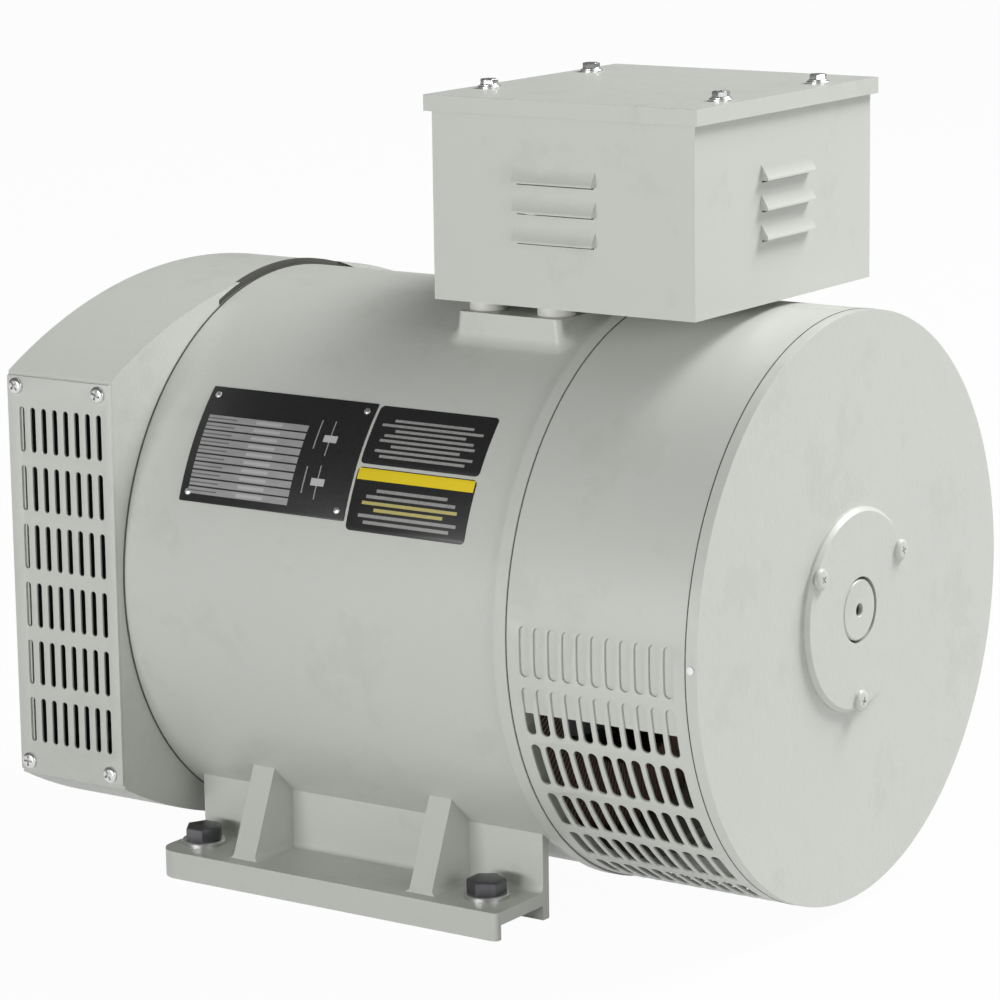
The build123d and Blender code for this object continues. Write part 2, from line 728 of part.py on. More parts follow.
coil_outer = pole_neck_half + field_coil_thick
coil_low = rotor_yoke_radius + loose_gap
coil_high = sqrt(shoe_inner**2 - coil_outer**2) - loose_gap

with BuildPart() as field_coils:
    for pole in (0, 90, 180, 270):
        outward = Plane(
            origin=axis_point,
            x_dir=(1, 0, 0),
            z_dir=(0, cos(radians(pole)), sin(radians(pole))),
        )
        with BuildSketch(outward.offset(coil_low)):
            Rectangle(2 * (core_half_length + field_coil_overhang), 2 * coil_outer)
            Rectangle(2 * core_half_length, 2 * pole_neck_half, mode=Mode.SUBTRACT)
        extrude(amount=coil_high - coil_low)
finish(field_coils, "field_coils")

with BuildPart() as fan:
    ring(fan_start, fan_start + fan_plate, fan_radius, shaft_body_radius)
    ring(fan_start, fan_end, fan_hub_radius, shaft_body_radius)
    with BuildSketch(across(fan_start)):
        with PolarLocations((fan_radius + fan_blade_inner) / 2, fan_blades):
            Rectangle(fan_radius - fan_blade_inner, fan_blade_thick)
    extrude(amount=fan_end - fan_start)
finish(fan, "fan")

with BuildPart() as slip_ring_hub:
    ring(slip_hub_start, slip_hub_end, ring_radius - ring_thick, slip_seat_radius)
finish(slip_ring_hub, "slip_ring_hub")

with BuildPart() as slip_rings:
    for x in ring_centres:
        ring(x - ring_width / 2, x + ring_width / 2, ring_radius, ring_radius - ring_thick)
finish(slip_rings, "slip_rings")

# ---- brush gear ------------------------------------------------------------------------------
brush_base = shaft_height + ring_radius + brush_lift
brush_top = brush_base + brush_height
arm_bottom = brush_top + spring_length
arm_start = slip_hub_start - arm_overhang
arm_end = rear_face - rear_disc

with BuildPart() as brush_holder:
    block(
        (slip_hub_start + 1, -holder_half_y, shaft_height + holder_bottom),
        (slip_hub_end - 1, holder_half_y, arm_bottom),
    )
    for x in ring_centres:
        block(
            (x - brush_x / 2 - running_gap, -brush_y / 2 - running_gap, shaft_height + holder_bottom),
            (x + brush_x / 2 + running_gap, brush_y / 2 + running_gap, arm_bottom),
            Mode.SUBTRACT,
        )
finish(brush_holder, "brush_holder")

with BuildPart() as brush_arm:
    block(
        (arm_start, -brush_arm_half_y, arm_bottom),
        (arm_end, brush_arm_half_y, arm_bottom + brush_arm_thick),
    )
    block(
        (arm_end - brush_arm_thick, -brush_arm_half_y, shaft_height + rear_hub_radius + arm_clearance),
        (arm_end, brush_arm_half_y, arm_bottom + brush_arm_thick),
    )
finish(brush_arm, "brush_arm")

for x, name in zip(ring_centres, ("front", "rear")):
    with BuildPart() as brush:
        block((x - brush_x / 2, -brush_y / 2, brush_base), (x + brush_x / 2, brush_y / 2, brush_top))
    finish(brush, name + "_brush")
    turns = [i / spring_facets for i in range(spring_turns * spring_facets + 1)]
    rise = (spring_length - 2 * spring_wire) / spring_turns
    coil = [
        (
            x + spring_radius * cos(2 * pi * turn),
            spring_radius * sin(2 * pi * turn),
            brush_top + spring_wire / 2 + rise * turn,
        )
        for turn in turns
    ]
    with BuildPart() as spring:
        with BuildLine():
            Polyline(*coil)
        with BuildSketch(Plane(origin=coil[0], x_dir=(1, 0, 0), z_dir=(0, 1, 0))):
            Rectangle(spring_wire, spring_wire)
        sweep(transition=Transition.RIGHT)
    finish(spring, name + "_brush_spring")

# ---- terminal box ----------------------------------------------------------------------------
box_low_x = box_centre_x - box_half_x
box_high_x = box_centre_x + box_half_x
lid_screw_places = [(box_centre_x + sx * lid_screw_x, sy * lid_screw_y) for sx in (-1, 1) for sy in (-1, 1)]
board_z = box_bottom + sheet + board_rise
board_top = board_z + board_thick
board_centre = box_centre_x + board_offset
louvre_heights = [louvre_first + i * louvre_pitch for i in range(louvre_count)]
body_top = lid_top - sheet - gasket_thick


def louvre(plane, place, mode, inset=0.0):
    """Pressed louvre: a wedge that stands out of the wall and opens downwards."""
    with BuildSketch(plane) as profile:
        with BuildLine():
            Polyline(
                (-sheet, place - inset),
                (louvre_depth - inset, place - inset),
                (louvre_depth - inset, place + louvre_lip),
                (-0.001 - inset, place + louvre_height - 2 * inset),
                (-sheet, place + louvre_height - 2 * inset),
                close=True,
            )
        make_face()
    extrude(profile.sketch, amount=(louvre_length - 2 * inset) / 2, both=True, mode=mode)


near_side = Plane(origin=(near_louvre_x, -box_half_y, 0), x_dir=(0, -1, 0), z_dir=(-1, 0, 0))
rear_side = Plane(origin=(box_high_x, 0, 0), x_dir=(1, 0, 0), z_dir=(0, -1, 0))

with BuildPart() as terminal_box:
    block((box_low_x, -box_half_y, box_bottom), (box_high_x, box_half_y, body_top))
    block(
        (box_low_x + sheet, -box_half_y + sheet, box_bottom + sheet),
        (box_high_x - sheet, box_half_y - sheet, body_top - sheet),
        Mode.SUBTRACT,
    )
    block(
        (box_low_x + top_flange, -box_half_y + sheet, body_top - sheet),
        (box_high_x - top_flange, box_half_y - sheet, body_top),
        Mode.SUBTRACT,
    )
    posts(body_top - sheet, sheet, lid_screw_radius, lid_screw_places, Mode.SUBTRACT)
    posts(box_bottom, sheet, box_bolt_radius, box_bolt_places, Mode.SUBTRACT)
    posts(box_bottom, sheet, lead_hole_radius, [(pad_centre_x, 0)], Mode.SUBTRACT)
    with BuildSketch(Plane.YZ.offset(box_low_x)):
        with Locations((0, grommet_z)):
            Circle(grommet_seat)
    extrude(amount=sheet, mode=Mode.SUBTRACT)
    for z in louvre_heights:
        for plane in (near_side, rear_side):
            louvre(plane, z, Mode.ADD)
            louvre(plane, z, Mode.SUBTRACT, inset=1.0)
finish(terminal_box, "terminal_box")

with BuildPart() as lid_gasket:
    block((box_low_x, -box_half_y, body_top), (box_high_x, box_half_y, body_top + gasket_thick))
    block(
        (box_low_x + top_flange, -box_half_y + gasket_margin, body_top),
        (box_high_x - top_flange, box_half_y - gasket_margin, body_top + gasket_thick),
        Mode.SUBTRACT,
    )
    posts(body_top, gasket_thick, lid_screw_radius, lid_screw_places, Mode.SUBTRACT)
finish(lid_gasket, "lid_gasket")

with BuildPart() as terminal_box_lid:
    reach = lid_overhang + sheet
    block(
        (box_low_x - reach, -box_half_y - reach, lid_top - lid_lip),
        (box_high_x + reach, box_half_y + reach, lid_top),
    )
    block(
        (box_low_x - lid_overhang, -box_half_y - lid_overhang, lid_top - lid_lip),
        (box_high_x + lid_overhang, box_half_y + lid_overhang, lid_top - sheet),
        Mode.SUBTRACT,
    )
    posts(lid_top - sheet, sheet, lid_screw_radius, lid_screw_places, Mode.SUBTRACT)
finish(terminal_box_lid, "terminal_box_lid")

with BuildPart() as lid_washers:
    posts(lid_top, lid_washer_thick, lid_washer_radius, lid_screw_places)
    posts(lid_top, lid_washer_thick, lid_screw_radius, lid_screw_places, Mode.SUBTRACT)
finish(lid_washers, "lid_washers")

with BuildPart() as lid_screws:
    with BuildSketch(Plane.XY.offset(lid_top + lid_washer_thick)):
        with Locations(*lid_screw_places):
            RegularPolygon(lid_head_flats / 2, 6, major_radius=False)
    extrude(amount=lid_head_height)
    low = body_top - sheet - lid_screw_reach
    posts(low, lid_top + lid_washer_thick - low, lid_screw_radius, lid_screw_places)
finish(lid_screws, "lid_screws")

with BuildPart() as box_spacers:
    posts(pad_top, box_bottom - pad_top, spacer_radius, box_bolt_places)
    posts(pad_top, box_bottom - pad_top, box_bolt_radius, box_bolt_places, Mode.SUBTRACT)
finish(box_spacers, "box_spacers")

with BuildPart() as box_bolts:
    with BuildSketch(Plane.XY.offset(box_bottom + sheet)):
        with Locations(*box_bolt_places):
            RegularPolygon(box_bolt_flats / 2, 6, major_radius=False)
    extrude(amount=box_bolt_head)
    low = pad_top - tapped_depth + tapped_spare
    posts(low, box_bottom + sheet - low, box_bolt_radius, box_bolt_places)
finish(box_bolts, "box_bolts")

with BuildPart() as cable_grommet:
    with BuildSketch(Plane.YZ.offset(box_low_x - (grommet_length - sheet) / 2)):
        with Locations((0, grommet_z)):
            Circle(grommet_radius)
    extrude(amount=(grommet_length - sheet) / 2)
    with BuildSketch(Plane.YZ.offset(box_low_x)):
        with Locations((0, grommet_z)):
            Circle(grommet_seat)
    extrude(amount=sheet)
    with BuildSketch(Plane.YZ.offset(box_low_x + sheet)):
        with Locations((0, grommet_z)):
            Circle(grommet_radius)
    extrude(amount=(grommet_length - sheet) / 2)
    with BuildSketch(Plane.YZ.offset(box_low_x - grommet_length)):
        with Locations((0, grommet_z)):
            Circle(grommet_bore)
    extrude(amount=3 * grommet_length, mode=Mode.SUBTRACT)
finish(cable_grommet, "cable_grommet")

first_stud = board_centre - (stud_count - 1) / 2 * stud_pitch
stud_places = [(first_stud + i * stud_pitch, stud_row_y) for i in range(stud_count)]
board_feet = [
    (board_centre + sx * (board_half_x - board_foot_inset), sy * (board_half_y - board_foot_inset))
    for sx in (-1, 1)
    for sy in (-1, 1)
]

with BuildPart() as terminal_board:
    block(
        (board_centre - board_half_x, -board_half_y, board_z),
        (board_centre + board_half_x, board_half_y, board_z + board_thick),
    )
    posts(box_bottom + sheet, board_rise, board_foot_radius, board_feet)
    posts(board_z, board_thick, stud_radius, stud_places, Mode.SUBTRACT)
finish(terminal_board, "terminal_board")

with BuildPart() as terminal_studs:
    posts(board_z, stud_rise, stud_radius, stud_places)
    with BuildSketch(Plane.XY.offset(board_z + board_thick)):
        with Locations(*stud_places):
            RegularPolygon(stud_nut_flats / 2, 6, major_radius=False)
            Circle(stud_radius, mode=Mode.SUBTRACT)
    extrude(amount=stud_nut_height)
finish(terminal_studs, "terminal_studs")

with BuildPart() as rectifier_bridge:
    block(
        (board_centre - rectifier_half, -board_half_y, board_top),
        (board_centre + rectifier_half, rectifier_depth - board_half_y, board_top + rectifier_height),
    )
finish(rectifier_bridge, "rectifier_bridge")


# ---- plates on the barrel --------------------------------------------------------------------
def barrel_plate(start, end, low, high, thick):
    """Thin plate curved round the near side of the barrel."""
    sector(start, end, frame_radius + thick, frame_radius, near_angle - high, near_angle - low)


rivet_spread = degrees(rivet_inset / frame_radius)
rivet_places = [
    (x, near_angle - a)
    for x in (nameplate_start + rivet_inset, nameplate_end - rivet_inset)
    for a in (nameplate_low + rivet_spread, nameplate_high - rivet_spread)
]


def radial_post(x, angle, start, height, radius, mode=Mode.ADD):
    """Round post square to the barrel at x and an angle."""
    normal = (0, cos(radians(angle)), sin(radians(angle)))
    out = Plane(origin=(x, 0, shaft_height), x_dir=(1, 0, 0), z_dir=normal)
    with BuildSketch(out.offset(start)) as profile:
        Circle(radius)
    extrude(profile.sketch, amount=height, mode=mode)


with BuildPart() as nameplate:
    barrel_plate(nameplate_start, nameplate_end, nameplate_low, nameplate_high, nameplate_thick)
finish(nameplate, "nameplate")

with BuildPart() as nameplate_rivets:
    for x, angle in rivet_places:
        radial_post(x, angle, frame_radius + nameplate_thick + rivet_lift, rivet_height, rivet_radius)
finish(nameplate_rivets, "nameplate_rivets")

notice_split = (notice_low + notice_high) / 2
with BuildPart() as upper_notice:
    barrel_plate(notice_start, notice_end, notice_split + notice_gap_angle / 2, notice_high, notice_thick)
finish(upper_notice, "upper_notice")

with BuildPart() as lower_notice:
    barrel_plate(notice_start, notice_end, notice_low, notice_split - notice_gap_angle / 2, notice_thick)
finish(lower_notice, "lower_notice")

# ---- foot bolts ------------------------------------------------------------------------------
with BuildPart() as foot_washers:
    posts(foot_top, foot_washer_thick, foot_washer_radius, foot_bolt_places)
    posts(foot_top, foot_washer_thick, foot_bolt_radius + bolt_gap, foot_bolt_places, Mode.SUBTRACT)
finish(foot_washers, "foot_washers")

thread_top = foot_top - foot_plate - loose_gap

with BuildPart() as foot_bolts:
    with BuildSketch(Plane.XY.offset(foot_top + foot_washer_thick)):
        with Locations(*foot_bolt_places):
            RegularPolygon(foot_head_flats / 2, 6, major_radius=False)
    extrude(amount=foot_head_height)
    posts(0, thread_top, foot_bolt_radius, foot_bolt_places)
    posts(thread_top, foot_top + foot_washer_thick - thread_top, foot_shank_radius, foot_bolt_places)
finish(foot_bolts, "foot_bolts")
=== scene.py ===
"""Looks of a foot-mounted brush alternator head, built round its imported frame.

Lengths are metres. X runs along the shaft towards the rear disc and +Z is up.
"""
import json
from math import atan2, cos, pi, radians, sin, sqrt

import bmesh
import bpy
from mathutils import Matrix, Vector

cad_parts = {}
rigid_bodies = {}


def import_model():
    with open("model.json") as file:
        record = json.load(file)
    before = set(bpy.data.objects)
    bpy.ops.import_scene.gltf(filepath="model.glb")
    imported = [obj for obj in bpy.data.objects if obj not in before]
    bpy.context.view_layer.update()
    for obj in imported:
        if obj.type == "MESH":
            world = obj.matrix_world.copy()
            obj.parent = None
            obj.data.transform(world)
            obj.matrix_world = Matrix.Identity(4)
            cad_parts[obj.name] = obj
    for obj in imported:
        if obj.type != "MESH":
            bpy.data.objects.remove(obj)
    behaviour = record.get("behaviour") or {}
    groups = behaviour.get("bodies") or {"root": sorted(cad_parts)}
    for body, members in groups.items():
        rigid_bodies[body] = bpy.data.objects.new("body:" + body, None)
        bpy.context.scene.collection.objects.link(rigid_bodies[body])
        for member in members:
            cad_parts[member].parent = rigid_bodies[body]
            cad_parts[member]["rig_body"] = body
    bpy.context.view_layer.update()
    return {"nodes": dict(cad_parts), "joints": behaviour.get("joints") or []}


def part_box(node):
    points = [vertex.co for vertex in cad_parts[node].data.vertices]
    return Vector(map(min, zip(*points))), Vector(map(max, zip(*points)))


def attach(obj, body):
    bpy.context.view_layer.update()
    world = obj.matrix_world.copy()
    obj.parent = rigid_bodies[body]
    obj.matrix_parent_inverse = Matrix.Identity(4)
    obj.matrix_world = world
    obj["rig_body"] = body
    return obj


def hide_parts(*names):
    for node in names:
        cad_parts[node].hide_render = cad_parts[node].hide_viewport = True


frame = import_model()
nodes = frame["nodes"]
MM = 0.001


# ---- camera, floor and lights ----------------------------------------------------------
CAMERA_PLACE = Vector((1.2257, -1.7511, 0.6306))
CAMERA_AIM = Vector((0.0880, -0.0964, 0.2181))
CAMERA_ROLL = radians(-0.8)
CAMERA_LENS = 144.9
WORLD_FILL = 0.14       # world light on the object; the camera sees white
FLOOR_GLOW = 0.97       # share of plain white in what the camera sees of the floor


def add_camera():
    data = bpy.data.cameras.new("view_camera")
    data.lens = CAMERA_LENS
    data.sensor_width = 36
    camera = bpy.data.objects.new("view_camera", data)
    bpy.context.scene.collection.objects.link(camera)
    look = (CAMERA_AIM - CAMERA_PLACE).to_track_quat("-Z", "Y").to_matrix().to_4x4()
    camera.matrix_world = Matrix.Translation(CAMERA_PLACE) @ look @ Matrix.Rotation(CAMERA_ROLL, 4, "Z")
    bpy.context.scene.camera = camera


def add_light(name, place, aim, size, power, colour=(1, 1, 1)):
    data = bpy.data.lights.new(name, "AREA")
    data.shape = "RECTANGLE"
    data.size, data.size_y = size
    data.energy = power
    data.color = colour
    light = bpy.data.objects.new(name, data)
    bpy.context.scene.collection.objects.link(light)
    turn = (Vector(aim) - Vector(place)).to_track_quat("-Z", "Y").to_matrix().to_4x4()
    light.matrix_world = Matrix.Translation(place) @ turn


def add_lights():
    middle = (0, 0, 0.2)
    add_light("rear_key", (3.3, -0.9, 0.9), middle, (1.8, 1.4), 24)
    add_light("near_fill", (-0.3, -3.6, 0.55), middle, (2.2, 0.6), 66)
    add_light("overhead", (1.4, 2.0, 2.9), middle, (1.6, 1.6), 165)


# ---- shader sums -----------------------------------------------------------------------
class Value:
    """One shader socket that takes part in Python sums."""

    def __init__(self, finish, socket):
        self.finish = finish
        self.socket = socket

    def sum(self, operation, *terms):
        made = self.finish.node("ShaderNodeMath", {"operation": operation}, dict(enumerate(terms)))
        return made["Value"]

    def __add__(self, other):
        return self.sum("ADD", self, other)

    def __radd__(self, other):
        return self.sum("ADD", other, self)

    def __sub__(self, other):
        return self.sum("SUBTRACT", self, other)

    def __rsub__(self, other):
        return self.sum("SUBTRACT", other, self)

    def __mul__(self, other):
        return self.sum("MULTIPLY", self, other)

    def __rmul__(self, other):
        return self.sum("MULTIPLY", other, self)

    def __truediv__(self, other):
        return self.sum("DIVIDE", self, other)

    def __rtruediv__(self, other):
        return self.sum("DIVIDE", other, self)

    def __pow__(self, other):
        return self.sum("POWER", self, other)

    def __gt__(self, other):
        return self.sum("GREATER_THAN", self, other)

    def __lt__(self, other):
        return self.sum("LESS_THAN", self, other)

    def wave(self):
        return self.sum("SINE", self)

    def size(self):
        return self.sum("ABSOLUTE", self)

    def least(self, other):
        return self.sum("MINIMUM", self, other)

    def most(self, other):
        return self.sum("MAXIMUM", self, other)

    def part(self):
        return self.sum("FRACT", self)


class Made:
    """A node whose outputs are read by name as values."""

    def __init__(self, finish, node):
        self.finish = finish
        self.node = node

    def __getitem__(self, name):
        return Value(self.finish, self.node.outputs[name])


class Finish:
    """A material under construction."""

    def __init__(self, name):
        self.material = bpy.data.materials.new(name)
        self.material.use_nodes = True
        self.tree = self.material.node_tree
        self.shader = self.tree.nodes["Principled BSDF"]
        self.place = self.node("ShaderNodeTexCoord")["Object"]

    def node(self, kind, settings=None, inputs=None):
        node = self.tree.nodes.new(kind)
        for name, value in (settings or {}).items():
            setattr(node, name, value)
        for name, value in (inputs or {}).items():
            self.feed(node.inputs[name], value)
        return Made(self, node)

    def feed(self, socket, value):
        if isinstance(value, Value):
            self.tree.links.new(value.socket, socket)
        else:
            socket.default_value = value

    def set(self, **inputs):
        """Feed the surface shader; underscores stand for spaces."""
        for name, value in inputs.items():
            if isinstance(value, tuple) and len(value) == 3:
                value = (*value, 1)
            self.feed(self.shader.inputs[name.replace("_", " ")], value)

    def noise(self, scale, detail=3.0, roughness=0.5, stretch=None):
        place = self.place
        if stretch:
            place = self.node("ShaderNodeMapping", None, {"Vector": place, "Scale": stretch})["Vector"]
        settings = {"Vector": place, "Scale": scale, "Detail": detail, "Roughness": roughness}
        return self.node("ShaderNodeTexNoise", None, settings)["Fac"]

    def mix(self, amount, first, second):
        """Blend of two colours."""
        inputs = {"Factor": amount}
        made = self.node("ShaderNodeMix", {"data_type": "RGBA"}, inputs)
        for socket, colour in zip((6, 7), (first, second)):
            value = (*colour, 1) if isinstance(colour, tuple) else colour
            self.feed(made.node.inputs[socket], value)
        return Value(self, made.node.outputs[2])

    def axes(self, source=None):
        made = self.node("ShaderNodeSeparateXYZ", None, {"Vector": source or self.place})
        return made["X"], made["Y"], made["Z"]

    def rise(self, height, distance, strength=1.0):
        """Bump from a height value; distance in metres."""
        inputs = {"Height": height, "Distance": distance, "Strength": strength}
        made = self.node("ShaderNodeBump", None, inputs)
        self.set(Normal=made["Normal"])


def enamel(name, cast, shade_room=None):
    """Light grey-green enamel: smooth on sheet, uneven over a sand casting. Inside a given box it turns near
    black: painted shade, standing in for the shadow inside the hood.
    """
    finish = Finish(name)
    cloud = finish.noise(5.0, 4.0)
    speck = finish.noise(160.0, 2.0)
    base = finish.mix(cloud, (0.562, 0.585, 0.545), (0.602, 0.618, 0.570))
    dusty = (finish.noise(22.0, 5.0, 0.65) - 0.56) * 3.0
    base = finish.mix(dusty.most(0.0).least(0.22), base, (0.47, 0.48, 0.44))
    if shade_room:
        # Painted shade: near black inside the box, where the inside of the hood lies in shadow behind the
        # grille slots.
        x, y, z = finish.axes()
        inside = band_of(x, shade_room[0].x, shade_room[1].x) * band_of(y, shade_room[0].y, shade_room[1].y)
        base = finish.mix(inside * band_of(z, shade_room[0].z, shade_room[1].z), base, (0.055, 0.058, 0.055))
    finish.set(Base_Color=base, Roughness=0.30 + speck * 0.16)
    if cast:
        height = finish.noise(70.0, 3.0, 0.55) * 0.7 + finish.noise(420.0, 2.0) * 0.3
        finish.rise(height, 0.9 * MM, 0.35)
    else:
        height = finish.noise(900.0, 1.0) * 0.6 + finish.noise(60.0, 1.0) * 0.4
        finish.rise(height, 0.12 * MM, 0.35)
    return finish.material


def plated(name, light, dark, roughness, metallic=1.0, scale=600.0):
    """Plated or bare metal with fine scratches and stains."""
    finish = Finish(name)
    stain = finish.noise(120.0, 4.0, 0.6)
    scratch = finish.noise(scale, 2.0, 0.5, (1.0, 1.0, 0.12))
    finish.set(
        Base_Color=finish.mix(stain, light, dark),
        Roughness=roughness + scratch * 0.18,
        Metallic=metallic,
    )
    finish.rise(scratch, 0.05 * MM, 0.3)
    return finish.material


def moulded(name, light, dark, roughness):
    """Moulded resin, rubber or carbon with a fine matt grain."""
    finish = Finish(name)
    grain = finish.noise(700.0, 3.0, 0.6)
    finish.set(Base_Color=finish.mix(finish.noise(60.0), light, dark), Roughness=roughness + grain * 0.15)
    finish.rise(grain, 0.08 * MM, 0.3)
    return finish.material


def turned(name, light, dark, roughness):
    """Steel turned on a lathe: fine rings about the shaft axis."""
    finish = Finish(name)
    x, y, z = finish.axes()
    up = z - SHAFT_HEIGHT
    radius = (y * y + up * up) ** 0.5
    rings = ((radius * 5200.0).wave() + (x * 4100.0).wave()) * 0.25 + 0.5
    stain = finish.noise(90.0, 4.0, 0.6)
    finish.set(Base_Color=finish.mix(stain, light, dark), Metallic=1.0, Roughness=roughness + rings * 0.12)
    finish.rise(rings, 0.03 * MM, 0.5)
    return finish.material


def laminated(name, light, dark):
    """Stacked sheets seen on edge: half-millimetre lines across the shaft."""
    finish = Finish(name)
    x = finish.axes()[0]
    leaves = (x * 2 * pi / (0.5 * MM * 2)).wave() * 0.5 + 0.5
    finish.set(Base_Color=finish.mix(leaves, light, dark), Metallic=0.6, Roughness=0.45 + leaves * 0.1)
    finish.rise(leaves, 0.1 * MM, 0.5)
    return finish.material


def wound(name, light, dark):
    """Varnished copper wire laid side by side."""
    finish = Finish(name)
    x, y, z = finish.axes()
    up = z - SHAFT_HEIGHT
    angle = finish.node("ShaderNodeMath", {"operation": "ARCTAN2"}, {0: up, 1: y})["Value"]
    drift = finish.noise(30.0, 2.0) * 8.0
    strands = ((angle * 220.0 + x * 900.0 + drift).wave()) * 0.5 + 0.5
    varnish = finish.noise(45.0, 4.0)
    base = finish.mix(strands * 0.6 + varnish * 0.4, dark, light)
    finish.set(Base_Color=base, Roughness=0.32 + varnish * 0.2, Metallic=0.35)
    finish.rise(strands, 0.6 * MM, 0.8)
    return finish.material


def anodised(name, rule):
    """Black plate; rule adds its printed pattern from the plate's own flat map."""
    finish = Finish(name)
    flat = finish.node("ShaderNodeUVMap", {"uv_map": "flat"})["UV"]
    across, up, _ = finish.axes(flat)
    grain = finish.noise(500.0, 2.0)
    black = finish.mix(grain, (0.010, 0.010, 0.011), (0.020, 0.020, 0.021))
    finish.set(Base_Color=rule(finish, across, up, black), Roughness=0.34 + grain * 0.12)
    finish.rise(grain, 0.03 * MM, 0.3)
    return finish.material


def band_of(value, low, high):
    """1 where value lies between low and high."""
    return (value > low) * (value < high)


def data_rows(finish, across, up, black):
    """Ten ruled rows of satin grey with a darker first column, and two plain scales beside them."""
    table = band_of(across, 0.045, 0.655) * band_of(up, 0.06, 0.745)
    rows = ((up - 0.06) / 0.0685).part()
    line = band_of(rows, 0.10, 0.90)
    tone = finish.noise(260.0, 2.0, 0.6, (0.3, 1.0, 1.0))
    grey = finish.mix(tone, (0.26, 0.26, 0.26), (0.40, 0.40, 0.40))
    label = band_of(rows, 0.42, 0.58) * (across < 0.22) * table
    value = band_of(rows, 0.30, 0.70) * band_of(across, 0.34, 0.50) * table
    shown = finish.mix(table * line, black, grey)
    shown = finish.mix(label * 0.7, shown, (0.06, 0.06, 0.06))
    shown = finish.mix(value * 0.6, shown, (0.55, 0.55, 0.55))
    stem_one = band_of(across, 0.720, 0.727) * (band_of(up, 0.55, 0.80) + band_of(up, 0.18, 0.40))
    stem_two = band_of(across, 0.800, 0.806) * (band_of(up, 0.50, 0.80) + band_of(up, 0.14, 0.42))
    boxes = band_of(across, 0.765, 0.845) * (band_of(up, 0.615, 0.675) + band_of(up, 0.250, 0.310))
    shown = finish.mix((stem_one + stem_two).least(1.0) * 0.75, shown, (0.42, 0.42, 0.42))
    return finish.mix(boxes.least(1.0), shown, (0.50, 0.50, 0.50))


def plain_bars(count, header):
    """Centred plain bars of uneven length on black, with or without a coloured head band."""

    def rule(finish, across, up, black):
        top = 0.70 if header else 0.80
        pitch = (top - 0.10) / count
        rows = (up - 0.10) / pitch
        index = rows - rows.part()
        reach = (index * 2.3).wave() * 0.07 + 0.36
        bar = band_of(rows.part(), 0.22, 0.74) * band_of(up, 0.10, top) * ((across - 0.5).size() < reach)
        wear = finish.noise(900.0, 2.0) * 0.5 + 0.35
        shown = finish.mix(bar * wear, black, (0.52, 0.52, 0.50))
        if header:
            yellow = band_of(index, 1.5, 3.5) * bar
            shown = finish.mix(yellow * wear, shown, (0.62, 0.52, 0.06))
            stripe = band_of(up, 0.80, 0.985) * band_of(across, 0.01, 0.99)
            shown = finish.mix(stripe, shown, (0.86, 0.66, 0.02))
        return shown

    return rule


def floor_finish():
    finish = Finish("studio_floor")
    tone = finish.noise(3.0, 2.0)
    ray = finish.node("ShaderNodeLightPath")
    seen = ray["Is Camera Ray"].most(ray["Is Glossy Ray"]).most(ray["Is Transmission Ray"])
    finish.set(Base_Color=finish.mix(tone, (0.54, 0.54, 0.54), (0.56, 0.56, 0.56)), Roughness=0.9)
    glow = finish.node("ShaderNodeEmission", None, {"Color": (1, 1, 1, 1), "Strength": 1.0})
    blend = finish.node("ShaderNodeMixShader", None, {0: seen * FLOOR_GLOW})
    finish.tree.links.new(finish.shader.outputs[0], blend.node.inputs[1])
    finish.tree.links.new(glow.node.outputs[0], blend.node.inputs[2])
    finish.tree.links.new(blend.node.outputs[0], finish.tree.nodes["Material Output"].inputs[0])
    return finish.material


def light_world():
    world = bpy.data.worlds.new("studio")
    world.use_nodes = True
    tree = world.node_tree
    ray = tree.nodes.new("ShaderNodeLightPath")
    glow = tree.nodes["Background"]
    glow.inputs["Color"].default_value = (1, 1, 1, 1)
    strength = tree.nodes.new("ShaderNodeMapRange")
    strength.inputs["To Min"].default_value = WORLD_FILL
    strength.inputs["To Max"].default_value = 1.0
    tree.links.new(ray.outputs["Is Camera Ray"], strength.inputs["Value"])
    tree.links.new(strength.outputs["Result"], glow.inputs["Strength"])
    bpy.context.scene.world = world


# ---- mesh helpers ----------------------------------------------------------------------
SHAFT_HEIGHT = frame["joints"][0]["pos_m"][2]
SMOOTH_ANGLE = radians(32)


def piece(name, mesh, material, body, replaced=(), bevel=0.0, segments=2):
    """Link a finished mesh, give it a body and the nodes it stands for."""
    for polygon in mesh.polygons:
        polygon.use_smooth = True
    mesh.set_sharp_from_angle(angle=SMOOTH_ANGLE)
    made = bpy.data.objects.new(name, mesh)
    bpy.context.scene.collection.objects.link(made)
    mesh.materials.clear()
    mesh.materials.append(material)
    if bevel:
        edge = made.modifiers.new("edges", "BEVEL")
        edge.width = bevel
        edge.segments = segments
        edge.limit_method = "ANGLE"
        edge.angle_limit = SMOOTH_ANGLE
    if bevel:
        flat = made.modifiers.new("flat_faces", "WEIGHTED_NORMAL")
        flat.keep_sharp = True
    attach(made, body)
    if replaced:
        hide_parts(*replaced)
    return made


def mesh_of(bm, name):
    mesh = bpy.data.meshes.new(name)
    bm.to_mesh(mesh)
    bm.free()
    return mesh


def merged_copy(node):
    """A node's mesh with its corners merged and flat faces joined."""
    bm = bmesh.new()
    bm.from_mesh(nodes[node].data)
    bmesh.ops.remove_doubles(bm, verts=bm.verts, dist=0.002 * MM)
    bmesh.ops.dissolve_limit(bm, angle_limit=radians(0.3), verts=bm.verts, edges=bm.edges)
    return bm


def dress(node, material, bevel, segments=2, name=None):
    """A copy of a node with softened edges stands for it."""
    body = nodes[node]["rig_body"]
    mesh = mesh_of(merged_copy(node), name or node + "_shell")
    return piece(name or node + "_shell", mesh, material, body, (node,), bevel, segments)


